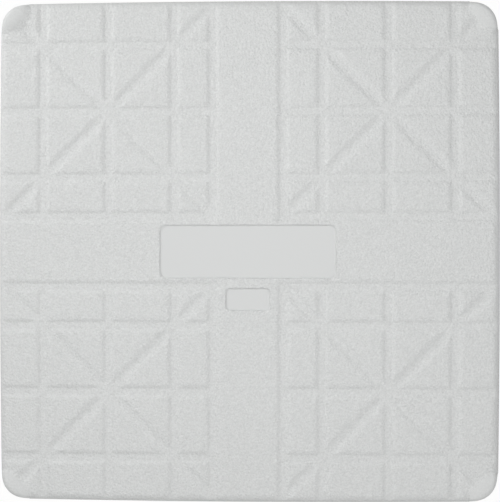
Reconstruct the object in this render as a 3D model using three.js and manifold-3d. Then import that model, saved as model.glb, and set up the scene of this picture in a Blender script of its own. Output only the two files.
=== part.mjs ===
// A baseball base: a moulded rubber top that snaps onto a steel mount with a square post.
// Millimetres, +Z up. The origin is on the centre line at ground level, where the post enters its anchor.

import * as THREE from "three";
import { mergeVertices } from "three/addons/utils/BufferGeometryUtils.js";
import Module from "manifold-3d";

// Driving dimensions

// Tread cover: outer form and wall
const baseWidth = 381;
const baseHeight = 76.2;
const sideDraft = 1.1; // how far each side leans in between the ground and its top edge
const cornerRadius = 22.1; // in plan, at the ground
const edgeRadius = 6; // rounding of the top edge
const topThickness = 10;
const wallThickness = 9;

// Tread grooves: distances between centre lines, from the plain cross outwards
const crossHalf = 26.6;
const narrowPitch = 29.3;
const widePitch = 50;
const grooveFloor = 3.9; // flat width at the bottom
const grooveFlare = 3.2; // run of each sloping wall
const grooveDepth = 1.6;

// Smooth pads at the corners
const padInset = 9.4; // from each side to the middle of a pad
const padLength = 27; // across the corner
const padWidth = 19; // along the diagonal
const padRise = 1.8;
const padMargin = 1; // step in from the outline

// Bare plates sunk into the cross
const plateWidth = 133;
const plateHeight = 40;
const plateCorner = 5;
const lowerPlateWidth = 33;
const lowerPlateHeight = 16.5;
const lowerPlateCorner = 3;
const lowerPlateDrop = 36; // below the middle of the base
const plateDepth = 0.6;

// Clearances
const fit = 0.3; // round fits and soft pieces
const seatGap = 0.3; // between the top and the mount it rests on
const plateGap = 2; // backing plate to the cover's walls
const mountGap = 4; // mount plate to the cover's walls
const roofGap = 1; // stud head to the roof of its socket

// Backing plate and the posts that it is screwed to
const backingThickness = 4;
const postRadius = 12;
const postInset = 24; // from the cover's inner walls
const insertRadius = 5;
const insertLength = 12;

// Countersunk screws and nuts, one size throughout
const screwRadius = 3;
const screwHeadRadius = 6;
const screwHeadRim = 0.4;
const screwHeadHeight = 3.3;
const screwTip = 0.6;
const driveRadius = 2.3; // hexagon socket, across corners
const driveDepth = 2;
const nutRadius = 5.8;
const nutHeight = 6;
const nutReach = 1.5; // screw end past the nut

// Release studs and their rubber sockets
const studInset = 91.5; // from the cover's inner walls
const studNeckRadius = 8;
const studNeckHeight = 7.5;
const studHeadRadius = 10.5;
const studFlare = 2.2; // height of the sloping underside of the head
const studBarrel = 4; // height of the straight part of the head
const studDome = 5.5;
const studTipRadius = 4; // flat on top of the dome
const studThread = 10; // screw length inside the stud
const socketWall = 3.5;
const socketFlange = 2.5;
const socketReach = 5; // flange past the cup

// Ground mount and its post
const mountThickness = 4;
const stemWidth = 38.1;
const stemWall = 3.2;
const stemCorner = 4;
const stemLength = 114.3; // below the ground
const flangeThickness = 5;
const flangeMargin = 31; // flange past the post on each side
const flangeCorner = 8;
const flangeScrewInset = 12; // from the flange's edges
const weldLeg = 4;

// Number of flat steps in round stretches
const cornerSteps = 4;
const edgeSteps = 3;
const roundSteps = 16;
const screwSteps = 10;

// Places that follow from the driving dimensions
const baseHalf = baseWidth / 2;
const shoulderHalf = baseHalf - sideDraft;
const shoulderRadius = cornerRadius - sideDraft;
const cavityHalf = baseHalf - wallThickness;
const cavityRadius = cornerRadius - wallThickness;
const cavityTop = baseHeight - topThickness;
const socketBottom = mountThickness + seatGap;
const backingBottom = socketBottom + socketFlange + fit;
const backingTop = backingBottom + backingThickness;
const socketCupRadius = studHeadRadius + fit + socketWall;
const socketFlangeRadius = socketCupRadius + socketReach;
const socketUpperFlange = backingTop + fit;
const studNeckTop = mountThickness + studNeckHeight;
const studHeadBottom = studNeckTop + studFlare;
const studTop = studHeadBottom + studBarrel + studDome;
const socketRoof = studTop + roofGap;
const socketTop = socketRoof + socketWall;
const stemHalf = stemWidth / 2;
const flangeHalf = stemHalf + flangeMargin;
const flangeScrewOffset = flangeHalf - flangeScrewInset;
const postOffset = cavityHalf - postInset;
const studOffset = cavityHalf - studInset;
const overrun = 2; // how far a cutter runs past the face it opens

const signs = [-1, 1];
const fourCorners = signs.flatMap((x) => signs.map((y) => [x, y]));
const eightPosts = [-1, 0, 1].flatMap((x) => [-1, 0, 1].map((y) => [x, y])).filter(([x, y]) => x || y);

// Solids

const wasm = await Module();
wasm.setup();

function solidOf(geometry) {
  const bare = new THREE.BufferGeometry();
  bare.setAttribute("position", geometry.getAttribute("position"));
  bare.setIndex(geometry.getIndex());
  const merged = mergeVertices(bare);
  const index = merged.getIndex().array;
  const triVerts = [];
  for (let i = 0; i < index.length; i += 3) {
    const [a, b, c] = index.slice(i, i + 3);
    if (a !== b && b !== c && c !== a) triVerts.push(a, b, c);
  }
  const vertProperties = new Float32Array(merged.getAttribute("position").array);
  return new wasm.Manifold(new wasm.Mesh({ numProp: 3, vertProperties, triVerts: new Uint32Array(triVerts) }));
}

function geometryOf(solid) {
  const { vertProperties, triVerts } = solid.getMesh();
  const geometry = new THREE.BufferGeometry();
  geometry.setAttribute("position", new THREE.BufferAttribute(vertProperties, 3));
  geometry.setIndex(new THREE.BufferAttribute(triVerts, 1));
  geometry.computeVertexNormals();
  return geometry;
}

const union = (geometries) => geometries.map(solidOf).reduce((sum, solid) => sum.add(solid));

function roundedRectangle(width, height, radius) {
  const x = width / 2 - radius;
  const y = height / 2 - radius;
  const shape = new THREE.Shape();
  shape.absarc(x, y, radius, 0, Math.PI / 2);
  shape.absarc(-x, y, radius, Math.PI / 2, Math.PI);
  shape.absarc(-x, -y, radius, Math.PI, 1.5 * Math.PI);
  shape.absarc(x, -y, radius, 1.5 * Math.PI, 2 * Math.PI);
  return shape;
}

const roundedSquare = (half, radius) => roundedRectangle(2 * half, 2 * half, radius);

function prism(shape, bottom, top) {
  const settings = { depth: top - bottom, bevelEnabled: false, curveSegments: cornerSteps };
  return new THREE.ExtrudeGeometry(shape, settings).translate(0, 0, bottom);
}

// A solid through rounded squares at rising heights.
function loft(levels) {
  const rings = levels.map(({ half, radius, z }) =>
    roundedSquare(half, radius).getPoints(cornerSteps).map(({ x, y }) => [x, y, z]));
  const count = rings[0].length;
  const last = (rings.length - 1) * count;
  const index = [];
  for (let j = 0; j < count; j += 1) {
    const k = (j + 1) % count;
    index.push(0, k, j);
    index.push(last, last + j, last + k);
    for (let base = 0; base < last; base += count) {
      index.push(base + j, base + k, base + count + k);
      index.push(base + j, base + count + k, base + count + j);
    }
  }
  const geometry = new THREE.BufferGeometry();
  geometry.setAttribute("position", new THREE.Float32BufferAttribute(rings.flat(2), 3));
  geometry.setIndex(index);
  return geometry;
}

// A turned solid on the Z axis, from pairs of radius and height.
function turned(profile, steps) {
  const points = profile.map(([radius, z]) => new THREE.Vector2(radius, z));
  return new THREE.LatheGeometry(points, steps).rotateX(Math.PI / 2);
}

function rod(radius, bottom, top, steps = roundSteps) {
  return turned([[0, bottom], [radius, bottom], [radius, top], [0, top]], steps);
}

// Tread cover

function coverForm(margin = 0, rise = 0) {
  const levels = [{ half: baseHalf - margin, radius: cornerRadius - margin, z: rise }];
  for (let step = 0; step <= edgeSteps; step += 1) {
    const angle = (step / edgeSteps) * (Math.PI / 2);
    const inset = margin + edgeRadius * (1 - Math.cos(angle));
    const z = baseHeight + rise - edgeRadius * (1 - Math.sin(angle));
    levels.push({ half: shoulderHalf - inset, radius: shoulderRadius - inset, z });
  }
  return loft(levels);
}

// A bar whose sides and ends slope out upwards, to cut one straight groove from one point to another.
function grooveBar(from, to) {
  const run = to.clone().sub(from);
  const slope = grooveFlare / grooveDepth;
  const levels = [-grooveDepth, overrun].map((z) => {
    const flare = (z + grooveDepth) * slope;
    return { z, x: run.length() / 2 + grooveFloor / 2 + flare, y: grooveFloor / 2 + flare };
  });
  const bar = new THREE.BoxGeometry(2, 2, 2);
  const position = bar.getAttribute("position");
  for (let i = 0; i < position.count; i += 1) {
    const level = levels[position.getZ(i) < 0 ? 0 : 1];
    position.setXYZ(i, position.getX(i) * level.x, position.getY(i) * level.y, level.z);
  }
  const middle = from.clone().add(to).multiplyScalar(0.5);
  return bar.rotateZ(run.angle()).translate(middle.x, middle.y, baseHeight);
}

function grooveBars() {
  const narrow = crossHalf + narrowPitch;
  const wide = narrow + widePitch;
  const outer = wide + widePitch;
  const end = baseHalf;
  const bars = [];
  for (const [sx, sy] of fourCorners) {
    const point = (x, y) => new THREE.Vector2(sx * x, sy * y);
    for (const line of [crossHalf, narrow, wide, outer]) {
      bars.push(grooveBar(point(line, crossHalf), point(line, end)));
      bars.push(grooveBar(point(crossHalf, line), point(end, line)));
    }
    bars.push(grooveBar(point(crossHalf, crossHalf), point(end, end)));
    bars.push(grooveBar(point(crossHalf, 2 * wide - crossHalf), point(2 * wide - crossHalf, crossHalf)));
  }
  return union(bars);
}

// Low smooth domes at the corners, rounded off like the cover's edge but just inside its outline.
function cornerPads() {
  const foot = baseHeight - 2 * edgeRadius;
  const dome = [[0, foot], [1, foot]];
  const domeSteps = 3;
  for (let step = 0; step <= domeSteps; step += 1) {
    const radius = 1 - step / domeSteps;
    dome.push([radius, baseHeight + padRise * (1 - radius * radius)]);
  }
  const middle = shoulderHalf - padInset;
  const pads = fourCorners.map(([sx, sy]) =>
    turned(dome, roundSteps)
      .scale(padWidth / 2, padLength / 2, 1)
      .rotateZ(Math.atan2(sy, sx))
      .translate(sx * middle, sy * middle, 0));
  return union(pads).intersect(solidOf(coverForm(padMargin, padRise)));
}

function plateCuts() {
  const top = baseHeight + overrun;
  const bottom = baseHeight - plateDepth;
  const main = prism(roundedRectangle(plateWidth, plateHeight, plateCorner), bottom, top);
  const lower = prism(roundedRectangle(lowerPlateWidth, lowerPlateHeight, lowerPlateCorner), bottom, top);
  return union([main, lower.translate(0, -lowerPlateDrop, 0)]);
}

function treadCover() {
  const cavity = prism(roundedSquare(cavityHalf, cavityRadius), -overrun, cavityTop);
  const atPosts = (make) => union(eightPosts.map(([x, y]) => make().translate(x * postOffset, y * postOffset, 0)));
  const posts = atPosts(() => rod(postRadius, backingTop, cavityTop + overrun));
  const insertHoles = atPosts(() =>
    rod(insertRadius + fit, backingTop - overrun, backingTop + insertLength + fit));
  return solidOf(coverForm())
    .subtract(grooveBars())
    .subtract(plateCuts())
    .add(cornerPads())
    .subtract(solidOf(cavity))
    .add(posts)
    .subtract(insertHoles);
}

// Screws, nuts and inserts. A screw stands on its flat head and points up.

function screw(length) {
  const body = turned([
    [0, 0],
    [screwHeadRadius, 0],
    [screwHeadRadius, screwHeadRim],
    [screwRadius, screwHeadHeight],
    [screwRadius, length - screwTip],
    [screwRadius - screwTip, length],
    [0, length],
  ], screwSteps);
  return geometryOf(solidOf(body).subtract(solidOf(rod(driveRadius, -overrun, driveDepth, 6))));
}

function screwHole(length) {
  return turned([
    [0, -overrun],
    [screwHeadRadius + fit, -overrun],
    [screwHeadRadius + fit, screwHeadRim],
    [screwRadius + fit, screwHeadHeight],
    [screwRadius + fit, length + overrun],
    [0, length + overrun],
  ], screwSteps);
}

function nut() {
  const body = rod(nutRadius, 0, nutHeight, 6);
  return geometryOf(solidOf(body).subtract(solidOf(rod(screwRadius + fit, -overrun, nutHeight + overrun, screwSteps))));
}

function coverInsert() {
  const bore = screwRadius + fit;
  const profile = [[bore, 0], [insertRadius, 0], [insertRadius, insertLength], [bore, insertLength], [bore, 0]];
  return turned(profile, screwSteps);
}

// Foam core, backing plate and release sockets

function foamCore() {
  const top = cavityTop - fit;
  const bottom = backingTop + fit;
  const block = prism(roundedSquare(cavityHalf - fit, cavityRadius - fit), bottom, top);
  const holes = eightPosts.map(([x, y]) =>
    rod(postRadius + fit, bottom - overrun, top + overrun).translate(x * postOffset, y * postOffset, 0));
  const pockets = fourCorners.flatMap(([sx, sy]) => [
    rod(socketFlangeRadius + fit, bottom - overrun, socketUpperFlange + socketFlange + fit),
    rod(socketCupRadius + fit, bottom - overrun, socketTop + fit),
  ].map((pocket) => pocket.translate(sx * studOffset, sy * studOffset, 0)));
  return solidOf(block).subtract(union([...holes, ...pockets]));
}

function backingPlate() {
  const plate = prism(roundedSquare(cavityHalf - plateGap, cavityRadius - plateGap), backingBottom, backingTop);
  const screwHoles = eightPosts.map(([x, y]) =>
    screwHole(backingThickness).translate(x * postOffset, y * postOffset, backingBottom));
  const socketHoles = fourCorners.map(([sx, sy]) =>
    rod(socketCupRadius + fit, backingBottom - overrun, backingTop + overrun)
      .translate(sx * studOffset, sy * studOffset, 0));
  return solidOf(plate).subtract(union([...screwHoles, ...socketHoles]));
}

// A rubber bush: two flanges hold the backing plate, and a lip hooks under the stud's head.
function releaseSocket() {
  const lip = studNeckRadius + fit;
  const hollow = studHeadRadius + fit;
  return turned([
    [lip, socketBottom],
    [socketFlangeRadius, socketBottom],
    [socketFlangeRadius, socketBottom + socketFlange],
    [socketCupRadius, socketBottom + socketFlange],
    [socketCupRadius, socketUpperFlange],
    [socketFlangeRadius, socketUpperFlange],
    [socketFlangeRadius, socketUpperFlange + socketFlange],
    [socketCupRadius, socketUpperFlange + socketFlange],
    [socketCupRadius, socketTop],
    [0, socketTop],
    [0, socketRoof],
    [hollow, socketRoof],
    [hollow, studHeadBottom - fit],
    [lip, studNeckTop - fit],
    [lip, socketBottom],
  ], roundSteps);
}

// Ground mount

function releaseStud() {
  const bore = screwRadius + fit;
  const boreTop = mountThickness + studThread + fit;
  const dome = [];
  const domeSteps = 3;
  for (let step = 0; step <= domeSteps; step += 1) {
    const angle = (step / domeSteps) * (Math.PI / 2);
    const radius = studTipRadius + (studHeadRadius - studTipRadius) * Math.cos(angle);
    dome.push([radius, studHeadBottom + studBarrel + studDome * Math.sin(angle)]);
  }
  return turned([
    [bore, mountThickness],
    [studNeckRadius, mountThickness],
    [studNeckRadius, studNeckTop],
    [studHeadRadius, studHeadBottom],
    ...dome,
    [0, studTop],
    [0, boreTop],
    [bore, boreTop],
    [bore, mountThickness],
  ], roundSteps);
}

function mountPlate() {
  const plate = prism(roundedSquare(cavityHalf - mountGap, cavityRadius - mountGap), 0, mountThickness);
  const studHoles = fourCorners.map(([sx, sy]) =>
    screwHole(mountThickness).translate(sx * studOffset, sy * studOffset, 0));
  const flangeHoles = fourCorners.map(([sx, sy]) =>
    screwHole(mountThickness)
      .rotateX(Math.PI)
      .translate(sx * flangeScrewOffset, sy * flangeScrewOffset, mountThickness));
  return solidOf(plate).subtract(union([...studHoles, ...flangeHoles]));
}

function stanchion() {
  const flange = prism(roundedSquare(flangeHalf, flangeCorner), -flangeThickness, 0);
  const post = prism(roundedSquare(stemHalf, stemCorner), -stemLength, -flangeThickness);
  const weld = loft([
    { half: stemHalf, radius: stemCorner, z: -flangeThickness - weldLeg },
    { half: stemHalf + weldLeg, radius: stemCorner + weldLeg, z: -flangeThickness },
  ]);
  const innerRadius = Math.max(stemCorner - stemWall, 0.5);
  const bore = prism(roundedSquare(stemHalf - stemWall, innerRadius), -stemLength - overrun, -flangeThickness);
  const holes = fourCorners.map(([sx, sy]) =>
    rod(screwRadius + fit, -flangeThickness - overrun, overrun, screwSteps)
      .translate(sx * flangeScrewOffset, sy * flangeScrewOffset, 0));
  return union([flange, post, weld]).subtract(union([bore, ...holes]));
}

// Finishes

const finish = (color, roughness, metalness) => () => new THREE.MeshStandardMaterial({ color, roughness, metalness });
const whiteRubber = finish(0xdadcda, 0.7, 0);
const foam = finish(0xe9e2cf, 0.95, 0);
const blackRubber = finish(0x202122, 0.75, 0);
const zincSteel = finish(0xb4b8ba, 0.4, 1);
const paintedSteel = finish(0x2c2e30, 0.55, 0.2);
const darkScrew = finish(0x8a8d90, 0.35, 1);
const brass = finish(0xc09a4e, 0.35, 1);

// Assembly

const base = new THREE.Group();
const baseTop = new THREE.Group();
const groundMount = new THREE.Group();
base.add(baseTop, groundMount);

function place(group, name, geometry, material, x = 0, y = 0, z = 0) {
  const mesh = new THREE.Mesh(geometry, material());
  mesh.name = name;
  mesh.position.set(x, y, z);
  group.add(mesh);
  return mesh;
}

place(baseTop, "tread_cover", geometryOf(treadCover()), whiteRubber);
place(baseTop, "foam_core", geometryOf(foamCore()), foam);
place(baseTop, "backing_plate", geometryOf(backingPlate()), zincSteel);

eightPosts.forEach(([sx, sy], i) => {
  const x = sx * postOffset;
  const y = sy * postOffset;
  const length = backingThickness + insertLength;
  place(baseTop, `cover_screw_${i + 1}`, screw(length), darkScrew, x, y, backingBottom);
  place(baseTop, `cover_insert_${i + 1}`, coverInsert(), brass, x, y, backingTop);
});

fourCorners.forEach(([sx, sy], i) => {
  const x = sx * studOffset;
  const y = sy * studOffset;
  place(baseTop, `release_socket_${i + 1}`, releaseSocket(), blackRubber, x, y);
  place(groundMount, `release_stud_${i + 1}`, releaseStud(), zincSteel, x, y);
  place(groundMount, `stud_screw_${i + 1}`, screw(mountThickness + studThread), darkScrew, x, y);
});

place(groundMount, "mount_plate", geometryOf(mountPlate()), paintedSteel);
place(groundMount, "stanchion", geometryOf(stanchion()), zincSteel);

fourCorners.forEach(([sx, sy], i) => {
  const x = sx * flangeScrewOffset;
  const y = sy * flangeScrewOffset;
  const length = mountThickness + flangeThickness + nutHeight + nutReach;
  const bolt = place(groundMount, `stanchion_screw_${i + 1}`, screw(length), darkScrew, x, y, mountThickness);
  bolt.rotation.x = Math.PI;
  place(groundMount, `stanchion_nut_${i + 1}`, nut(), darkScrew, x, y, -flangeThickness - nutHeight);
});

export default base;
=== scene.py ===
import math

import bmesh
import bpy
from mathutils import Matrix, Vector
from mathutils.geometry import tessellate_polygon


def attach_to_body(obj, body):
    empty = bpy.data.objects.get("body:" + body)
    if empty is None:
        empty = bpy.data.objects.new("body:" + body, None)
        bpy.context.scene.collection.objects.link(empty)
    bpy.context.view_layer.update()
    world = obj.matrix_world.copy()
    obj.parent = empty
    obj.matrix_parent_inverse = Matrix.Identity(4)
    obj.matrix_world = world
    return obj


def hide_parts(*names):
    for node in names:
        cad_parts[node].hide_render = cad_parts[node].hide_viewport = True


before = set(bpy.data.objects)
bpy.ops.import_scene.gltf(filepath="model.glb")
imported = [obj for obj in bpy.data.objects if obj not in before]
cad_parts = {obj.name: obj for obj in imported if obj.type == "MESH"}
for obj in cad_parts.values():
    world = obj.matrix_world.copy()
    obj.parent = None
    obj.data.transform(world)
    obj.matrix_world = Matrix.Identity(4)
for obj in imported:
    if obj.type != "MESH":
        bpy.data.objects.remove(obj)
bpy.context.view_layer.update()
scene = bpy.context.scene
scene.view_settings.view_transform = "Standard"
print("frame:", len(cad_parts), "nodes")

# what several pieces share, with sizes in millimetres as in every piece

mm = 0.001
gap = 0.3  # between pieces that fit into each other
levels = {  # heights at which pieces meet
    "backingHigh": 11.1, "backingLow": 7.1, "mountHigh": 4.0, "mountLow": 0.0,
    "flangeLow": -5.0, "stemFoot": -114.3,
}
places = {  # distance from the middle, and how many pieces stand along each side of a square
    "post": (157.5, 3), "stud": (90.0, 2), "flange": (38.05, 2),
}
slant = math.sqrt(0.5)  # share of a diagonal length along x or y
roundMid = 0.3  # place of a rounded edge's middle point, as a share of its radius
sameSpot = mm / 10000  # points as close as this become one
crease = {"tread": 40, "turned": 35, "slab": 25, "weld": 60}  # degrees from which an edge stays sharp


class Wire:  # one socket of a node tree, with sums written as sums
    def __init__(self, tree, socket):
        self.tree = tree
        self.socket = socket

    def node(self, kind, inputs=(), out=0, **settings):
        made = self.tree.nodes.new(kind)
        for name, value in settings.items():
            setattr(made, name, value)
        pairs = inputs.items() if isinstance(inputs, dict) else enumerate(inputs)
        for key, value in pairs:
            if isinstance(value, Wire):
                self.tree.links.new(value.socket, made.inputs[key])
            else:
                made.inputs[key].default_value = value
        return Wire(self.tree, made.outputs[out])

    def parts(self):
        split = self.node("ShaderNodeSeparateXYZ", (self,)).socket.node
        return [Wire(self.tree, socket) for socket in split.outputs]

    def math(self, operation, *others, clamp=False):
        return self.node("ShaderNodeMath", (self, *others), operation=operation, use_clamp=clamp)

    def __add__(self, other):
        return self.math("ADD", other)

    __radd__ = __add__

    def __sub__(self, other):
        return self.math("SUBTRACT", other)

    def __rsub__(self, other):
        return self.node("ShaderNodeMath", (other, self), operation="SUBTRACT")

    def __mul__(self, other):
        return self.math("MULTIPLY", other)

    __rmul__ = __mul__

    def __truediv__(self, other):
        return self.math("DIVIDE", other)

    def __pow__(self, other):
        return self.math("POWER", other)

    def __abs__(self):
        return self.math("ABSOLUTE")

    def __neg__(self):
        return 0.0 - self

    def least(self, *others):
        found = self
        for other in others:
            found = found.math("MINIMUM", other)
        return found

    def most(self, *others):
        found = self
        for other in others:
            found = found.math("MAXIMUM", other)
        return found

    def unit(self):  # held between 0 and 1
        return self.math("ADD", 0.0, clamp=True)


def source(tree, kind, out=0):  # a wire from a new node that needs no inputs
    return Wire(tree, tree.nodes.new(kind).outputs[out])


# materials

def newMaterial(name, color, roughness, metallic=0.0):
    material = bpy.data.materials.new(name)
    material.use_nodes = True
    tree = material.node_tree
    shader = tree.nodes["Principled BSDF"]
    shader.inputs["Base Color"].default_value = (*color, 1)
    shader.inputs["Roughness"].default_value = roughness
    shader.inputs["Metallic"].default_value = metallic
    place = source(tree, "ShaderNodeTexCoord", "Object")

    def join(name, wire):
        tree.links.new(wire.socket, shader.inputs[name])

    return material, place, join


def tint(factor, dark, light):  # a colour between two, by a factor from 0 to 1
    ramp = factor.node("ShaderNodeValToRGB", (factor,))
    stops = ramp.socket.node.color_ramp.elements
    stops[0].color = (*dark, 1)
    stops[1].color = (*light, 1)
    return ramp


def mixColors(factor, first, second):
    sockets = {"Factor": factor, 6: first, 7: second}  # a Mix node's colours, which come out at 2
    return factor.node("ShaderNodeMix", sockets, out=2, data_type="RGBA")


def noise(place, scale, detail=2.0):
    return place.node("ShaderNodeTexNoise", {"Vector": place, "Scale": scale, "Detail": detail})


def bump(height, distance):
    return height.node("ShaderNodeBump", {"Height": height, "Distance": distance})


def uneven(pattern, middle, spread):  # a value that wanders about its middle
    return pattern * spread + (middle - spread / 2)


whiteRubberLook = {
    "dark": (0.575, 0.585, 0.58), "light": (0.835, 0.845, 0.84),
    "cloud": 9.0, "cloudDetail": 3.0, "cloudShare": 0.12,
    "pitShade": 900.0, "pitShadeDetail": 1.0,  # specks per metre of painted shade, darker than the pebbles, standing for the shade in the pits between them
    "grain": 650.0, "grainHeight": 0.0009, "pebbleShare": 0.75,  # pebbles per metre
    "fineness": 2.2, "fineShare": 0.3,
    "roughness": 0.62, "roughnessSpread": 0.12,
    "smooth": (0.667, 0.677, 0.672), "smoothGloss": 0.1, "polish": 0.96,  # where the mould was polished
}


def makeWhiteRubber(look):
    material, place, join = newMaterial("whiteRubber", look["light"], look["roughness"])
    smooth = place.node("ShaderNodeAttribute", out="Fac", attribute_name="smoothArea")
    cloud = noise(place, look["cloud"], look["cloudDetail"])
    # painted shade: fine dark specks in the colour stand for the shade in the grain's pits, mixed with a
    # cloud of random tone
    pitShade = noise(place, look["pitShade"], look["pitShadeDetail"])
    shade = cloud * look["cloudShare"] + pitShade * (1.0 - look["cloudShare"])
    toneAndPitShade = tint(shade, look["dark"], look["light"])
    join("Base Color", mixColors(smooth, toneAndPitShade, (*look["smooth"], 1)))
    pebble = place.node("ShaderNodeTexVoronoi", {"Vector": place, "Scale": look["grain"]},
                        out="Distance", feature="SMOOTH_F1")
    fine = noise(place, look["grain"] * look["fineness"])
    height = (1.0 - pebble) * look["pebbleShare"] + fine * look["fineShare"]
    join("Normal", bump(height * (1.0 - smooth * look["polish"]), look["grainHeight"]))
    roughness = uneven(fine, look["roughness"], look["roughnessSpread"])
    join("Roughness", roughness - smooth * look["smoothGloss"])
    return material


steelLook = {
    "cloud": 60.0, "cloudDetail": 4.0, "cloudRoughness": 0.05,
    "brush": 900.0, "brushRoughness": 0.16,
}


def makeSteel(name, dark, light, roughness, stretch=1.0, brushDepth=0.00003):
    material, place, join = newMaterial(name, light, roughness, 1.0)
    cloud = noise(place, steelLook["cloud"], steelLook["cloudDetail"])
    join("Base Color", tint(cloud, dark, light))
    stretched = place.node("ShaderNodeMapping", {"Vector": place, "Scale": (1.0, stretch, 1.0)})
    brush = noise(stretched, steelLook["brush"])
    gloss = uneven(brush, roughness, steelLook["brushRoughness"])
    join("Roughness", gloss + cloud * steelLook["cloudRoughness"])
    join("Normal", bump(brush, brushDepth))
    return material


satinLook = {
    "cloud": 25.0, "cloudDetail": 3.0,
    "peel": 700.0, "peelHeight": 0.00008, "roughnessSpread": 0.14,
}


def makeSatin(name, dark, light, roughness):
    material, place, join = newMaterial(name, light, roughness)
    join("Base Color", tint(noise(place, satinLook["cloud"], satinLook["cloudDetail"]), dark, light))
    peel = noise(place, satinLook["peel"])
    join("Roughness", uneven(peel, roughness, satinLook["roughnessSpread"]))
    join("Normal", bump(peel, satinLook["peelHeight"]))
    return material


foamLook = {
    "dark": (0.62, 0.58, 0.46), "light": (0.78, 0.74, 0.62), "cloud": 18.0, "cloudDetail": 4.0,
    "cells": 520.0, "cellDepth": 0.0006, "roughness": 0.92, "roughnessSpread": 0.08,
}


def makeFoam(look):
    material, place, join = newMaterial("foam", look["light"], look["roughness"])
    join("Base Color", tint(noise(place, look["cloud"], look["cloudDetail"]), look["dark"], look["light"]))
    cells = place.node("ShaderNodeTexVoronoi", {"Vector": place, "Scale": look["cells"]}, out="Distance")
    join("Normal", bump(cells, look["cellDepth"]))
    join("Roughness", uneven(cells, look["roughness"], look["roughnessSpread"]))
    return material


whiteRubber = makeWhiteRubber(whiteRubberLook)
blackRubber = makeSatin("blackRubber", (0.012, 0.012, 0.013), (0.022, 0.022, 0.023), 0.55)
paintedSteel = makeSatin("paintedSteel", (0.020, 0.021, 0.023), (0.032, 0.033, 0.036), 0.45)
zincSteel = makeSteel("zincSteel", (0.50, 0.52, 0.54), (0.64, 0.65, 0.65), 0.36,
                      stretch=14.0, brushDepth=0.00005)
screwSteel = makeSteel("screwSteel", (0.34, 0.35, 0.36), (0.44, 0.45, 0.46), 0.3)
weldSteel = makeSteel("weldSteel", (0.22, 0.22, 0.23), (0.38, 0.37, 0.35), 0.45)
brass = makeSteel("brass", (0.55, 0.36, 0.12), (0.72, 0.50, 0.20), 0.3)
foam = makeFoam(foamLook)
print("materials ready")


# pieces and the trees that make them

def addPiece(name, mesh, material=None):
    piece = bpy.data.objects.new(name, mesh)
    scene.collection.objects.link(piece)
    if material:
        mesh.materials.append(material)
    return piece


def smoothEdges(mesh, angle):
    mesh.shade_smooth()
    mesh.set_sharp_from_angle(angle=math.radians(angle))


def settle(piece):  # the modifiers' result becomes the piece's plain mesh
    graph = bpy.context.evaluated_depsgraph_get()
    shown = piece.evaluated_get(graph)
    mesh = bpy.data.meshes.new_from_object(shown, preserve_all_data_layers=True, depsgraph=graph)
    rough = piece.data
    piece.modifiers.clear()
    piece.data = mesh
    bpy.data.meshes.remove(rough)
    mesh.name = piece.name
    return piece


def newTree(name, sizes):
    tree = bpy.data.node_groups.new(name, "GeometryNodeTree")
    tree.is_modifier = True
    tree.interface.new_socket("Geometry", in_out="INPUT", socket_type="NodeSocketGeometry")
    tree.interface.new_socket("Geometry", in_out="OUTPUT", socket_type="NodeSocketGeometry")
    for size in sizes:
        tree.interface.new_socket(size, in_out="INPUT", socket_type="NodeSocketFloat")
    start = tree.nodes.new("NodeGroupInput")
    wires = {socket.name: Wire(tree, socket) for socket in start.outputs if socket.name}
    return tree, wires


def endTree(tree, geometry, material):
    whole = geometry.node("GeometryNodeRealizeInstances", (geometry,))
    painted = whole.node("GeometryNodeSetMaterial", {"Geometry": whole, "Material": material})
    end = tree.nodes.new("NodeGroupOutput")
    tree.links.new(painted.socket, end.inputs[0])


def useTree(piece, tree, values):
    modifier = piece.modifiers.new(tree.name, "NODES")
    modifier.node_group = tree
    for item in tree.interface.items_tree:
        if item.in_out == "INPUT" and item.name in values:
            modifier[item.identifier] = values[item.name]
    return settle(piece)


def attach(piece, body, slot, *nodes):
    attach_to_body(piece, body)
    if nodes:
        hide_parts(*nodes)
    print(piece.name, "rides", body, "with", len(piece.data.polygons), "faces")


def numbered(name, count):
    return [f"{name}_{k + 1}" for k in range(count)]


def quarterTurn(steps):  # angles from 0 to a right angle
    return [math.pi / 2 * k / steps for k in range(steps + 1)]


# tread cover: a fine sheet over the rounded square, with its relief raised by a tree

cover = {
    "half": 189.4, "corner": 21.0, "edge": 6.0, "top": 76.2,
    "crossHalf": 26.6, "narrowPitch": 29.3, "widePitch": 50.0,  # the plain cross and the grooves beside it
    "floorHalf": 2.6, "flare": 3.2, "depth": 1.15, "fadeStart": 1.5, "fadeRun": 3.0,
    "padMiddle": 182.1, "padLong": 15.5, "padShort": 12.5, "padRise": 3.0, "padEdge": 3.0,
    "padMargin": 1.6, "pullDrop": 24.0, "pullRun": 12.0,  # the pads' outer rim stands inside the outline
    "bow": 1.5,  # the sides swell a little between the corners
    "plateX": 66.5, "plateY": 20.0, "plateCorner": 5.0, "plateDepth": 0.6, "plateWall": 1.0,
    "lowerX": 16.5, "lowerY": 8.25, "lowerCorner": 3.0, "lowerDrop": 36.0,
}
coverShares = {  # powers and shares that shape the same relief
    "padPower": 3.0, "padBlend": 4.0, "padPolish": 0.6, "rimPolish": 0.4,
    "notch": 0.8, "notchPower": 12.0, "cornerStart": 1.7, "bowPower": 5.0, "bowSpread": 2.0,
}
cavity = {"half": 181.5, "top": 66.2}
cavity["corner"] = cover["corner"] - (cover["half"] - cavity["half"])
skirt = {"draft": 1.1, "rows": (60.0, 40.0, 20.0), "lip": 1.5, "lipSteps": 3}
sheet = {
    "step": 1.6, "crossStep": 3.0, "fineStep": 0.9,  # longest face: tread, plain cross, plates' edges
    "floorRim": 0.5, "flareSteps": (0.25, 0.6, 1.0), "edgeSteps": 6,
}


def grooveLines(size):  # places of the grooves, from the middle outwards
    first = size["crossHalf"]
    second = first + size["narrowPitch"]
    return [first, second, second + size["widePitch"], second + 2 * size["widePitch"]]


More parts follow.
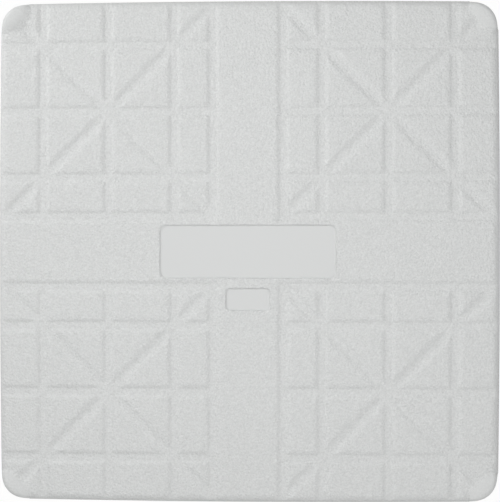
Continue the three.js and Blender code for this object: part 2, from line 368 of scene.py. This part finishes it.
def plateEdges(middle, half, corner):  # both edges of a plate, each with its corners' reach to the middle
    return [(middle - half, corner), (middle + half, -corner)]


def sheetLines(size, edges):
    level = size["half"] - size["edge"]
    straight = size["half"] - size["corner"]
    breaks = {-level, -straight, 0.0, straight, level}
    reaches = [size["floorHalf"] - sheet["floorRim"], size["floorHalf"]]
    reaches += [size["floorHalf"] + size["flare"] * share for share in sheet["flareSteps"]]
    for line in grooveLines(size):
        for reach in reaches:
            breaks.update((line - reach, line + reach, -line - reach, -line + reach))
    strips = []
    for edge, corner in edges:
        strip = sorted((edge + corner, edge - math.copysign(size["plateWall"], corner)))
        breaks.update((edge - size["plateWall"] / 2, edge + size["plateWall"] / 2, *strip))
        strips.append(strip)
    found = sorted(breaks)
    lines = [-level]
    for low, high in zip(found, found[1:]):
        step = sheet["step"]
        if any(start <= low and high <= end for start, end in strips):
            step = sheet["fineStep"]
        elif max(-low, high) < size["crossHalf"]:
            step = sheet["crossStep"]
        count = math.ceil((high - low) / step)
        lines += [low + (high - low) * (k + 1) / count for k in range(count)]
    turns = quarterTurn(sheet["edgeSteps"])[:-1]
    rounds = [size["half"] - size["edge"] * (1 - math.cos(turn)) for turn in turns]
    return [-far for far in rounds] + lines + rounds[::-1]


def roundCorner(x, y, straight):  # moves a point of the square sheet onto rounded corners
    pastX = abs(x) - straight
    pastY = abs(y) - straight
    if pastX <= 0 or pastY <= 0:
        return x, y
    turn = math.pi / 4 * min(pastX, pastY) / max(pastX, pastY)
    if pastX < pastY:
        turn = math.pi / 2 - turn
    reach = max(pastX, pastY)
    return (math.copysign(straight + reach * math.cos(turn), x),
            math.copysign(straight + reach * math.sin(turn), y))


def sheetPoints(size, xs, ys):
    points = []
    for y in ys:
        for x in xs:
            past = max(0.0, max(abs(x), abs(y)) - (size["half"] - size["edge"]))
            drop = size["edge"] - math.sqrt(max(0.0, size["edge"] ** 2 - past ** 2))
            points.append((*roundCorner(x, y, size["half"] - size["corner"]), size["top"] - drop))
    return points


def sheetFaces(size, xs, ys):  # each face starts where its split follows the nearest diagonal groove
    crossing = 2 * grooveLines(size)[2]
    wide = len(xs)
    faces = []
    for j, y in enumerate(ys[:-1]):
        for i, x in enumerate(xs[:-1]):
            k = j * wide + i
            around = (k, k + 1, k + 1 + wide, k + wide)
            outward = abs(abs(x) - abs(y)) < abs(abs(x) + abs(y) - crossing)
            rising = (x * y > 0) == outward
            faces.append(around if rising else around[1:] + around[:1])
    return faces


def sheetRim(wide, deep):  # the sheet's outer points, once round
    rim = list(range(wide))
    rim += [j * wide + wide - 1 for j in range(1, deep)]
    rim += [(deep - 1) * wide + i for i in range(wide - 2, -1, -1)]
    rim += [j * wide for j in range(deep - 2, 0, -1)]
    return rim


def skirtRows(size):  # how far each row lies outside the outline, and its height
    shoulder = size["top"] - size["edge"]
    draft, lip = skirt["draft"], skirt["lip"]
    rows = [(draft * (1 - z / shoulder), z) for z in (*skirt["rows"], lip)]
    for turn in quarterTurn(skirt["lipSteps"])[1:]:
        rows.append((draft - lip * (1 - math.cos(turn)), lip * (1 - math.sin(turn))))
    wall = cavity["half"] - size["half"]
    return rows + [(wall + lip, 0.0), (wall, lip), (wall, cavity["top"])]


def addSkirt(size, points, faces, rim):
    straight = size["half"] - size["corner"]
    ring = rim
    for out, z in skirtRows(size):
        below = range(len(points), len(points) + len(rim))
        for k in rim:
            x, y, _ = points[k]
            pastX = max(abs(x) - straight, 0.0)
            pastY = max(abs(y) - straight, 0.0)
            reach = out / math.hypot(pastX, pastY)
            points.append((x + reach * math.copysign(pastX, x), y + reach * math.copysign(pastY, y), z))
        for k in range(len(rim)):
            n = (k + 1) % len(rim)
            faces.append((ring[n], ring[k], below[k], below[n]))
        ring = below
    faces.append(tuple(ring))  # roof of the hollow


def coverMesh(size):
    big, small = size["plateCorner"], size["lowerCorner"]
    xs = sheetLines(size, plateEdges(0.0, size["plateX"], big) + plateEdges(0.0, size["lowerX"], small))
    lower = plateEdges(-size["lowerDrop"], size["lowerY"], small)
    ys = sheetLines(size, plateEdges(0.0, size["plateY"], big) + lower)
    points = sheetPoints(size, xs, ys)
    faces = sheetFaces(size, xs, ys)
    topCount = len(points)
    addSkirt(size, points, faces, sheetRim(len(xs), len(ys)))
    mesh = bpy.data.meshes.new("tread_sheet")
    mesh.from_pydata([Vector(point) * mm for point in points], [], faces)
    onTop = mesh.attributes.new("onTop", "FLOAT", "POINT")
    onTop.data.foreach_set("value", [1.0] * topCount + [0.0] * (len(points) - topCount))
    return mesh


def roundedBox(x, y, halfX, halfY, radius):  # how far a point lies outside a rounded rectangle
    pastX = abs(x) - (halfX - radius)
    pastY = abs(y) - (halfY - radius)
    outside = (pastX.most(0.0) ** 2.0 + pastY.most(0.0) ** 2.0).math("SQRT")
    return outside + pastX.most(pastY).least(0.0) - radius


def grooveDepth(size, absX, absY, inset):
    lines = grooveLines(size)

    def nearest(far):
        return abs(far - lines[0]).least(*(abs(far - line) for line in lines[1:]))

    crossX = size["crossHalf"] - absX  # how far inside the plain cross
    crossY = size["crossHalf"] - absY
    upright = nearest(absX).most(crossY)
    level = nearest(absY).most(crossX)
    outward = (abs(absX - absY) * slant).most((crossX + crossY) * slant)
    across = (abs(absX + absY - 2 * lines[2]) * slant).most(crossX, crossY)
    away = upright.least(level, outward, across)
    wall = 1.0 - ((away - size["floorHalf"]) / size["flare"]).unit()
    return wall * wall * size["depth"] * ((inset - size["fadeStart"]) / size["fadeRun"]).unit()


def plateMask(size, x, y):  # 1 on both plates, with sloping walls
    upper = roundedBox(x, y, size["plateX"], size["plateY"], size["plateCorner"])
    lower = roundedBox(x, y + size["lowerDrop"], size["lowerX"], size["lowerY"], size["lowerCorner"])
    return (0.5 - upper.least(lower) / size["plateWall"]).unit()


def edgeFall(radius, inset):  # how far a rounded edge has dropped
    reach = (radius - inset).most(0.0)
    return radius - (radius * radius - reach * reach).most(0.0).math("SQRT")


def reliefTree(sizes, material):
    tree, size = newTree("treadRelief", sizes)
    place = source(tree, "GeometryNodeInputPosition")
    x, y, z = place.parts()
    absX = abs(x)
    absY = abs(y)
    onTop = place.node("GeometryNodeInputNamedAttribute", ("onTop",), data_type="FLOAT")
    inset = -roundedBox(x, y, size["half"], size["half"], size["corner"])
    nearRim = (1.0 - inset / size["edge"]).unit()

    along = (size["padMiddle"] * 2.0 - absX - absY).most(0.0) * slant / size["padShort"]
    aside = abs(absX - absY) * slant / size["padLong"]
    inPad = 1.0 - (along ** size["padPower"] + aside ** size["padPower"])
    onPad = (inPad * size["padBlend"]).unit()
    tighter = edgeFall(size["edge"], inset) - edgeFall(size["padEdge"], inset)
    pad = inPad.unit() * size["padRise"] + tighter * onPad
    plate = plateMask(size, x, y)
    height = pad - grooveDepth(size, absX, absY, inset) * (1.0 - onPad) - plate * size["plateDepth"]

    upper = ((z - size["top"] + size["pullDrop"]) / size["pullRun"]).unit()
    tips = (1.0 - aside ** size["notchPower"]).unit()
    notch = (aside ** 2.0 * size["notch"] + (1.0 - size["notch"])) * tips
    atCorner = ((absX + absY - size["half"] * size["cornerStart"]) / size["corner"]).unit()
    pull = nearRim * upper * notch * atCorner * size["padMargin"] * slant
    farX = absX / size["half"]
    farY = absY / size["half"]
    inX = pull + farX ** size["bowPower"] * farY ** size["bowSpread"] * size["bow"]
    inY = pull + farY ** size["bowPower"] * farX ** size["bowSpread"] * size["bow"]
    shift = (-x.math("SIGN") * inX, -y.math("SIGN") * inY, height * onTop)
    offset = place.node("ShaderNodeCombineXYZ", shift)
    moved = place.node("GeometryNodeSetPosition", {"Geometry": size["Geometry"], "Offset": offset})

    polish = (onPad * size["padPolish"]).most(plate, nearRim * size["rimPolish"])
    smooth = {"Geometry": moved, "Name": "smoothArea", "Value": polish * onTop}
    kept = place.node("GeometryNodeStoreNamedAttribute", smooth, data_type="FLOAT", domain="POINT")
    endTree(tree, kept, material)
    return tree


reliefValues = {name: size * mm for name, size in cover.items()} | coverShares
treadCover = addPiece("tread_top", coverMesh(cover))
useTree(treadCover, reliefTree(reliefValues, whiteRubber), reliefValues)
smoothEdges(treadCover.data, crease["tread"])
attach(treadCover, "base_top", "white_rubber", "tread_cover")


# turned pieces: rings of (radius, height), or a function that gives such a pair for an angle

def joinLoops(shape, loops):
    for low, high in zip(loops, loops[1:]):
        for j in range(len(low)):
            k = (j + 1) % len(low)
            shape.faces.new((low[j], low[k], high[k], high[j]))


def closedMesh(name, shape, angle):
    bmesh.ops.remove_doubles(shape, verts=shape.verts[:], dist=sameSpot)
    bmesh.ops.recalc_face_normals(shape, faces=shape.faces[:])
    mesh = bpy.data.meshes.new(name)
    shape.to_mesh(mesh)
    shape.free()
    smoothEdges(mesh, angle)
    return mesh


def turnedMesh(name, rings, steps=48):
    shape = bmesh.new()
    loops = []
    for ring in rings:
        loop = []
        for j in range(steps):
            angle = math.tau * j / steps
            radius, z = ring(angle) if callable(ring) else ring
            point = Vector((radius * math.cos(angle), radius * math.sin(angle), z)) * mm
            loop.append(shape.verts.new(point))
        loops.append(loop)
    joinLoops(shape, loops)
    return closedMesh(name, shape, crease["turned"])


def hexRadius(corner, angle):
    return corner * math.cos(math.pi / 6) / math.cos(angle % (math.pi / 3) - math.pi / 6)


def hexRing(corner, z):
    return lambda angle: (hexRadius(corner, angle), z)


def cutRing(corner, face, z, slope):  # where a cone from a round face cuts a hexagon's corners
    return lambda angle: (hexRadius(corner, angle), z + slope * (hexRadius(corner, angle) - face))


def knurlRing(radius, depth, z, teeth=24):
    return lambda angle: (radius - depth * (0.5 - 0.5 * math.cos(teeth * angle)), z)


def threadRings(radius, depth, pitch, low, high, perTurn=4):  # one ridge that winds up the shank
    count = math.ceil(abs(high - low) / pitch * perTurn)
    rings = []
    for k in range(count + 1):

        def ring(angle, z=low + (high - low) * k / count):
            turn = (z / pitch - angle / math.tau) % 1
            return radius - depth * abs(2 * turn - 1), z

        rings.append(ring)
    return rings


def roundedEdge(x, z, alongX, alongZ):  # three points from a level side to an upright one
    return [(x + alongX, z), (x + alongX * roundMid, z + alongZ * roundMid), (x, z + alongZ)]


def spreadTree(material):  # one piece at each point of a square grid, but not in its middle
    tree, size = newTree("spread", ["spacing", "across"])
    spots = size["spacing"].node("GeometryNodeMeshGrid", {
        "Size X": size["spacing"], "Size Y": size["spacing"],
        "Vertices X": size["across"], "Vertices Y": size["across"]})
    place = source(tree, "GeometryNodeInputPosition")
    far = place.node("ShaderNodeVectorMath", (place,), out="Value", operation="LENGTH")
    middle = {"Geometry": spots, "Selection": far.math("LESS_THAN", mm)}
    spots = spots.node("GeometryNodeDeleteGeometry", middle, domain="POINT")
    copies = spots.node("GeometryNodeInstanceOnPoints", {"Points": spots, "Instance": size["Geometry"]})
    endTree(tree, copies, material)
    return tree


def spread(name, mesh, material, where):
    offset, across = places[where]
    piece = addPiece(name, mesh)
    return useTree(piece, spreadTree(material), {"spacing": 2 * offset * mm, "across": float(across)})


# fasteners: countersunk screws, threaded inserts and nuts, one size throughout

fastener = {
    "radius": 3.0, "break": 0.25, "pitch": 1.0, "thread": 0.5,
    "head": 6.0, "headRim": 0.4, "headHeight": 3.3, "neck": 1.0, "runOut": 0.2, "tip": 0.6,
    "drive": 2.3, "driveDepth": 2.0, "driveCone": 0.4,
    "coverLength": 16.0, "studLength": 14.0, "flangeLength": 16.5,
    "insert": 5.0, "insertLength": 12.0, "insertRim": 0.5, "insertMouth": 0.6,
    "knurl": 0.35, "waist": 0.5, "waistSlope": 0.4,
    "nut": 5.8, "nutFace": 4.95, "nutSlope": 0.577, "nutHeight": 6.0, "nutMouth": 0.4,
}
fastener["bore"] = fastener["radius"] + gap


def screwMesh(name, size, length):  # stands on its head, with a hexagon drive
    edge = size["break"]
    drive, head, radius = size["drive"], size["head"], size["radius"]
    neck = size["headHeight"] + size["neck"]
    return turnedMesh(name, [
        (0.0, size["driveDepth"] + size["driveCone"]), hexRing(drive, size["driveDepth"]),
        hexRing(drive, edge), (drive + edge, 0.0),
        (head - edge, 0.0), (head, edge), (head, size["headRim"]),
        (radius + edge, size["headHeight"] - edge), (radius, size["headHeight"] + edge), (radius, neck),
        *threadRings(radius, size["thread"], size["pitch"], neck + size["runOut"], length - size["tip"]),
        (radius - size["tip"], length), (0.0, length)])


def insertMesh(name, size):  # two knurled bands with a waist between them
    top = size["insertLength"]
    rim = size["insert"] - size["knurl"]
    mouth = size["bore"] + size["thread"]
    low, high = top / 2 - size["waist"], top / 2 + size["waist"]
    edge, slope, lead = size["insertRim"], size["waistSlope"], size["insertMouth"]
    bands = [edge, low - slope, high + slope, top - edge]
    teeth = [knurlRing(size["insert"], size["knurl"], z) for z in bands]
    inside = threadRings(mouth, size["thread"], size["pitch"], top - lead, lead)
    return turnedMesh(name, [
        (mouth, 0.0), (rim, 0.0), *teeth[:2], (rim, low), (rim, high), *teeth[2:],
        (rim, top), (mouth, top), *inside, (mouth, 0.0)])


def nutMesh(name, size):
    top = size["nutHeight"]
    mouth = size["bore"] + size["thread"]
    corner, face, slope, lead = size["nut"], size["nutFace"], size["nutSlope"], size["nutMouth"]
    return turnedMesh(name, [
        (mouth, 0.0), (face, 0.0), cutRing(corner, face, 0.0, slope),
        cutRing(corner, face, top, -slope), (face, top), (mouth, top),
        *threadRings(mouth, size["thread"], size["pitch"], top - lead, lead), (mouth, 0.0)])


def lifted(mesh, level, turned=False):
    flip = Matrix.Rotation(math.pi, 4, "X") if turned else Matrix.Identity(4)
    mesh.transform(Matrix.Translation((0, 0, level * mm)) @ flip)
    return mesh


screw = screwMesh("cover_screws", fastener, fastener["coverLength"])
coverScrews = spread("cover_screws", lifted(screw, levels["backingLow"]), screwSteel, "post")
attach(coverScrews, "base_top", "screw_steel", *numbered("cover_screw", 8))
insert = insertMesh("cover_inserts", fastener)
coverInserts = spread("cover_inserts", lifted(insert, levels["backingHigh"]), brass, "post")
attach(coverInserts, "base_top", "brass", *numbered("cover_insert", 8))
screw = screwMesh("stud_screws", fastener, fastener["studLength"])
studScrews = spread("stud_screws", lifted(screw, levels["mountLow"]), screwSteel, "stud")
attach(studScrews, "ground_mount", "screw_steel", *numbered("stud_screw", 4))
screw = screwMesh("stanchion_screws", fastener, fastener["flangeLength"])
screw = lifted(screw, levels["mountHigh"], turned=True)
flangeScrews = spread("stanchion_screws", screw, screwSteel, "flange")
attach(flangeScrews, "ground_mount", "screw_steel", *numbered("stanchion_screw", 4))
nut = lifted(nutMesh("stanchion_nuts", fastener), levels["flangeLow"] - fastener["nutHeight"])
nuts = spread("stanchion_nuts", nut, screwSteel, "flange")
attach(nuts, "ground_mount", "screw_steel", *numbered("stanchion_nut", 4))


# release studs, their rubber sockets and the cover's posts

stud = {
    "bottom": levels["mountHigh"], "neck": 8.0, "neckTop": 11.5,
    "head": 10.5, "headBottom": 13.7, "barrel": 4.0, "dome": 5.5, "domeSteps": 8, "tip": 4.0, "centre": 1.1,
    "boreTop": levels["mountLow"] + fastener["studLength"] + gap, "boreCone": 1.0, "break": 0.4,
}


def studMesh(name, size):
    edge, bore = size["break"], fastener["bore"]
    bottom, neck, head = size["bottom"], size["neck"], size["head"]
    domeFoot = size["headBottom"] + size["barrel"]
    domeTop = domeFoot + size["dome"]
    dome = []
    for turn in quarterTurn(size["domeSteps"]):
        radius = size["tip"] + (head - size["tip"]) * math.cos(turn)
        dome.append((radius, domeFoot + size["dome"] * math.sin(turn)))
    return turnedMesh(name, [
        (0.0, size["boreTop"] + size["boreCone"]), (bore, size["boreTop"]), (bore, bottom + edge),
        (bore + edge, bottom), (neck - edge, bottom), (neck, bottom + edge),
        (neck, size["neckTop"] - edge), (neck + edge / 2, size["neckTop"] + edge / 2),
        (head - edge / 2, size["headBottom"] - edge / 2), (head, size["headBottom"] + edge),
        *dome, (size["centre"], domeTop), (0.0, domeTop - size["centre"])])


studs = spread("release_studs", studMesh("release_studs", stud), zincSteel, "stud")
attach(studs, "ground_mount", "zinc_steel", *numbered("release_stud", 4))

socket = {
    "bottom": levels["mountHigh"] + gap, "flange": 2.5, "upper": levels["backingHigh"] + gap,
    "cup": 14.3, "reach": 19.3, "top": 27.7, "roof": 24.2,
    "hollow": 10.8, "hollowFoot": 13.4, "lip": 8.3, "lipTop": 11.2, "round": 0.7,
}


def socketMesh(name, size):  # a bush with two flanges and a lip that hooks under the stud's head
    bend = size["round"]
    bottom, upper, top, roof = size["bottom"], size["upper"], size["top"], size["roof"]
    lip, hollow, cup, reach = size["lip"], size["hollow"], size["cup"], size["reach"]
    low, high = bottom + size["flange"], upper + size["flange"]
    return turnedMesh(name, [
        (0.0, roof), (hollow - 2 * bend, roof), (hollow, roof - 2 * bend),
        (hollow, size["hollowFoot"] + bend), (hollow - bend / 2, size["hollowFoot"] - bend / 4),
        (lip + bend / 4, size["lipTop"]), (lip, size["lipTop"] - bend),
        *roundedEdge(lip, bottom, bend, bend)[::-1], *roundedEdge(reach, bottom, -bend, bend),
        (reach, low - bend / 2), (reach - bend / 2, low), (cup, low),
        (cup, upper), (reach - bend / 2, upper), (reach, upper + bend / 2),
        *roundedEdge(reach, high, -bend, -bend)[::-1], *roundedEdge(cup, high, bend, bend),
        *roundedEdge(cup, top, -2 * bend, -2 * bend)[::-1], (0.0, top)])


sockets = spread("release_sockets", socketMesh("release_sockets", socket), blackRubber, "stud")
attach(sockets, "base_top", "black_rubber", *numbered("release_socket", 4))

post = {
    "radius": 12.0, "bottom": levels["backingHigh"], "sunk": 0.1, "root": 3.0, "rootSteps": 3, "break": 0.6,
    "hole": fastener["insert"] + gap, "holeTop": levels["backingHigh"] + fastener["insertLength"] + gap,
}


def postMesh(name, size):  # sunk a little into the cover's roof
    edge = size["break"]
    hole, radius, bottom, bend = size["hole"], size["radius"], size["bottom"], size["root"]
    top = cavity["top"] + size["sunk"]
    root = []
    for turn in quarterTurn(size["rootSteps"]):
        root.append((radius + bend * (1 - math.cos(turn)), top - bend * (1 - math.sin(turn))))
    return turnedMesh(name, [
        (0.0, size["holeTop"]), (hole, size["holeTop"]), (hole, bottom + edge), (hole + edge, bottom),
        (radius - edge, bottom), (radius, bottom + edge), *root, (0.0, top)])


posts = spread("cover_posts", postMesh("cover_posts", post), whiteRubber, "post")
attach(posts, "base_top", "white_rubber")


# plates and the foam: slabs with a rounded square outline and round holes

def squareLoop(half, corner, steps=10):
    points = []
    for quarter in range(4):
        turn = math.pi / 2 * quarter
        middle = Vector((half - corner, half - corner)) @ Matrix.Rotation(-turn, 2)
        for more in quarterTurn(steps):
            angle = turn + more
            points.append((middle.x + corner * math.cos(angle), middle.y + corner * math.sin(angle)))
    return points


def roundLoop(x, y, radius, steps=40):
    angles = [math.tau * k / steps for k in range(steps)]
    return [(x + radius * math.cos(angle), y + radius * math.sin(angle)) for angle in angles]


def stackLoops(shape, rows):  # walls through outlines at given heights
    loops = [[shape.verts.new(Vector((x, y, z)) * mm) for x, y in outline] for outline, z in rows]
    joinLoops(shape, loops)
    return loops[0], loops[-1]


def slabMesh(name, slab, holes):
    shape = bmesh.new()
    edge = slab["edge"]
    rows = roundedEdge(0, slab["low"], edge, edge) + roundedEdge(0, slab["high"], edge, -edge)[::-1]
    outlines = [(squareLoop(slab["half"] - inset, slab["corner"] - inset), z) for inset, z in rows]
    first, last = stackLoops(shape, outlines)
    under, over = [first], [last]
    for x, y, profile in holes:
        first, last = stackLoops(shape, [(roundLoop(x, y, radius), z) for radius, z in profile])
        under.append(first)
        if profile[-1][0] > 0:  # a blind hole ends in a point
            over.append(last)
    for face in (under, over):
        corners = [corner for loop in face for corner in loop]
        for triangle in tessellate_polygon([[corner.co for corner in loop] for loop in face]):
            shape.faces.new([corners[k] for k in triangle])
    return closedMesh(name, shape, crease["slab"])


def insideCavity(margin):  # outline of a slab that lies inside the cover
    return {"half": cavity["half"] - margin, "corner": cavity["corner"] - margin}


def holesAt(where, profile):  # the same hole at each place but the middle
    offset, across = places[where]
    steps = [offset * (2 * k / (across - 1) - 1) for k in range(across)]
    return [(x, y, profile) for x in steps for y in steps if x or y]


def sunkHole(slab, size, fromAbove=False):  # a countersunk screw's hole
    low, high = slab["low"], slab["high"]
    mouth, bore = size["head"] + gap, size["bore"]
    rise = [(mouth, 0.0), (mouth, size["headRim"]), (bore, size["headHeight"]), (bore, high - low)]
    if fromAbove:
        return [(radius, high - z) for radius, z in reversed(rise)]
    return [(radius, low + z) for radius, z in rise]


def plainHole(slab, radius, edge=0.3):
    low, high = slab["low"], slab["high"]
    return [(radius + edge, low), (radius, low + edge), (radius, high - edge), (radius + edge, high)]


backing = {
    "low": levels["backingLow"], "high": levels["backingHigh"], "edge": 0.5,
    **insideCavity(margin=2.0),
}
holes = holesAt("post", sunkHole(backing, fastener))
holes += holesAt("stud", plainHole(backing, socket["cup"] + gap))
backingPlate = addPiece("backing_plate_sheet", slabMesh("backing_plate_sheet", backing, holes), zincSteel)
attach(backingPlate, "base_top", "zinc_steel", "backing_plate")

mount = {
    "low": levels["mountLow"], "high": levels["mountHigh"], "edge": 0.6,
    **insideCavity(margin=4.0),
}
holes = holesAt("stud", sunkHole(mount, fastener))
holes += holesAt("flange", sunkHole(mount, fastener, fromAbove=True))
mountPlate = addPiece("mount_plate_sheet", slabMesh("mount_plate_sheet", mount, holes), paintedSteel)
attach(mountPlate, "ground_mount", "painted_steel", "mount_plate")

flange = {
    "low": levels["flangeLow"], "high": levels["mountLow"], "edge": 0.6,
    "half": 50.05, "corner": 8.0,
}
holes = holesAt("flange", plainHole(flange, fastener["bore"]))
flangePlate = addPiece("stanchion_flange", slabMesh("stanchion_flange", flange, holes), zincSteel)
attach(flangePlate, "ground_mount", "zinc_steel", "stanchion")

foamSize = {
    "low": levels["backingHigh"] + gap, "high": cavity["top"] - gap, "edge": 2.0, "holeEdge": 1.5,
    **insideCavity(margin=gap),
}


def socketPocket(slab, size):  # room for a socket's upper flange and cup
    step = size["upper"] + size["flange"] + gap
    roof = size["top"] + gap
    wide, narrow = size["reach"] + gap, size["cup"] + gap
    return [(wide, slab["low"]), (wide, step), (narrow, step), (narrow, roof), (0.0, roof)]


holes = holesAt("post", plainHole(foamSize, post["radius"] + gap, foamSize["holeEdge"]))
holes += holesAt("stud", socketPocket(foamSize, socket))
foamBlock = addPiece("foam_block", slabMesh("foam_block", foamSize, holes), foam)
attach(foamBlock, "base_top", "foam", "foam_core")


# stanchion: a square tube, welded to its flange all round

stem = {"half": 19.05, "corner": 4.0, "wall": 3.2, "lead": 1.5, "innerLead": 0.5}
weldBead = {
    "out": 1.1, "radius": 2.7, "ripple": 0.16, "ripples": 6.0,
    "steps": 348.0, "cornerSteps": 8, "sides": 14,
}


def tubeMesh(name, size, top, bottom):
    half, corner, lead, innerLead = size["half"], size["corner"], size["lead"], size["innerLead"]
    inner, innerCorner = half - size["wall"], corner - size["wall"]
    rows = [(inner, innerCorner, top), (inner, innerCorner, bottom + innerLead),
            (inner + innerLead, innerCorner + innerLead, bottom), (half - lead, corner - lead, bottom),
            (half, corner, bottom + lead), (half, corner, top), (inner, innerCorner, top)]
    shape = bmesh.new()
    stackLoops(shape, [(squareLoop(far, turn), z) for far, turn, z in rows])
    return closedMesh(name, shape, crease["slab"])


def weldTree(sizes, cornerSteps, sides, material):  # a rippled bead along a rounded square
    tree, size = newTree("weldBead", sizes)
    width = size["width"]
    path = width.node("GeometryNodeCurvePrimitiveQuadrilateral", {"Width": width, "Height": width})
    rounded = {"Curve": path, "Radius": size["corner"], "Count": cornerSteps}
    path = path.node("GeometryNodeFilletCurve", rounded, mode="POLY")
    path = path.node("GeometryNodeResampleCurve", {"Curve": path, "Count": size["steps"]})
    wave = source(tree, "GeometryNodeInputIndex").math("MODULO", size["ripples"]) / size["ripples"]
    thickness = 1.0 - wave * wave * size["ripple"]
    path = path.node("GeometryNodeSetCurveRadius", {"Curve": path, "Radius": thickness})
    ring = path.node("GeometryNodeCurvePrimitiveCircle", {"Resolution": sides, "Radius": size["radius"]})
    bead = path.node("GeometryNodeCurveToMesh", {"Curve": path, "Profile Curve": ring})
    shift = path.node("ShaderNodeCombineXYZ", (0.0, 0.0, size["level"]))
    bead = bead.node("GeometryNodeSetPosition", {"Geometry": bead, "Offset": shift})
    endTree(tree, bead, material)
    return tree


tubeShape = tubeMesh("stanchion_tube", stem, levels["flangeLow"], levels["stemFoot"])
tube = addPiece("stanchion_tube", tubeShape, zincSteel)
attach(tube, "ground_mount", "zinc_steel", "stanchion")
weldValues = {
    "width": 2 * (stem["half"] + weldBead["out"]) * mm, "corner": (stem["corner"] + weldBead["out"]) * mm,
    "level": (levels["flangeLow"] - weldBead["out"]) * mm, "radius": weldBead["radius"] * mm,
    "ripple": weldBead["ripple"], "ripples": weldBead["ripples"], "steps": weldBead["steps"],
}
weld = addPiece("stanchion_weld", bpy.data.meshes.new("stanchion_weld"))
useTree(weld, weldTree(weldValues, weldBead["cornerSteps"], weldBead["sides"], weldSteel), weldValues)
smoothEdges(weld.data, crease["weld"])
attach(weld, "ground_mount", "zinc_steel", "stanchion")


# camera, floor and light, in metres

view = {
    "target": (0.00165, 0.0005, 0.0762), "distance": 1.5, "lean": (0.0555, 0.0045),
    "pixels": 1.3265, "imageWidth": 500, "sensor": 36.0, "clipEnd": 20.0,  # pixels to a millimetre
}
camera = bpy.data.objects.new("camera", bpy.data.cameras.new("camera"))
scene.collection.objects.link(camera)
aim = Vector((*view["lean"], 0))
aim.z = math.sqrt(1 - aim.length_squared)
right = Vector((0, 1, 0)).cross(aim).normalized()
camera.location = Vector(view["target"]) + aim * view["distance"]
camera.rotation_euler = Matrix((right, aim.cross(right), aim)).transposed().to_euler()
camera.data.sensor_fit = "HORIZONTAL"
camera.data.sensor_width = view["sensor"]
camera.data.lens = view["sensor"] * view["pixels"] * view["distance"] / mm / view["imageWidth"]
camera.data.clip_end = view["clipEnd"]
scene.camera = camera


def seenRays(tree):  # 1 where the camera, a reflection or a clear piece looks at the background
    rays = tree.nodes.new("ShaderNodeLightPath")
    names = ("Is Camera Ray", "Is Glossy Ray", "Is Transmission Ray")
    direct, glossy, clear = (Wire(tree, rays.outputs[name]) for name in names)
    return direct.most(glossy, clear)


floorLook = {"size": 6.0, "color": (0.9, 0.9, 0.9), "roughness": 0.9, "white": 0.97}


def makeFloor(look):  # white to the eye, with the part's shadow, and clear from below
    material = bpy.data.materials.new("floor")
    material.use_nodes = True
    tree = material.node_tree
    shader = tree.nodes["Principled BSDF"]
    shader.inputs["Base Color"].default_value = (*look["color"], 1)
    shader.inputs["Roughness"].default_value = look["roughness"]
    seen = seenRays(tree)
    glow = seen.node("ShaderNodeEmission", ((1, 1, 1, 1), 1.0))
    lit = seen.node("ShaderNodeMixShader", (seen * look["white"], Wire(tree, shader.outputs[0]), glow))
    below = source(tree, "ShaderNodeNewGeometry", "Backfacing")
    whole = below.node("ShaderNodeMixShader", (below, lit, source(tree, "ShaderNodeBsdfTransparent")))
    tree.links.new(whole.socket, tree.nodes["Material Output"].inputs["Surface"])
    return material


floorMesh = bpy.data.meshes.new("floor")
far = floorLook["size"] / 2
ground = levels["stemFoot"] * mm
corners = [(-far, -far, ground), (far, -far, ground), (far, far, ground), (-far, far, ground)]
floorMesh.from_pydata(corners, [], [(0, 1, 2, 3)])
floor = addPiece("floor", floorMesh, makeFloor(floorLook))

lamps = {
    "key": {"place": (-0.744, 0.487, 0.309), "size": 0.15, "power": 2.36},
    "fill": {"place": (0.57, -1.29, 0.965), "size": 0.3, "power": 2.97},
    "overhead": {"place": (0.0, 0.07, 0.82), "size": 0.4, "power": 2.4},
}
lampAim = (0.0, 0.0, 0.07)
skyLight = 0.403  # what the world gives the part, while it looks white itself


def addLamp(name, look):
    lamp = bpy.data.lights.new(name, "AREA")
    lamp.shape = "SQUARE"
    lamp.size = look["size"]
    lamp.energy = look["power"]
    holder = bpy.data.objects.new(name, lamp)
    holder.location = look["place"]
    holder.rotation_euler = (Vector(look["place"]) - Vector(lampAim)).to_track_quat("Z", "Y").to_euler()
    holder.visible_camera = False
    scene.collection.objects.link(holder)


for name, look in lamps.items():
    addLamp(name, look)
world = bpy.data.worlds.new("studio")
world.use_nodes = True
scene.world = world
sky = world.node_tree.nodes["Background"]
sky.inputs["Color"].default_value = (1, 1, 1, 1)
strength = seenRays(world.node_tree) * (1.0 - skyLight) + skyLight
world.node_tree.links.new(strength.socket, sky.inputs["Strength"])
print("camera and light ready")
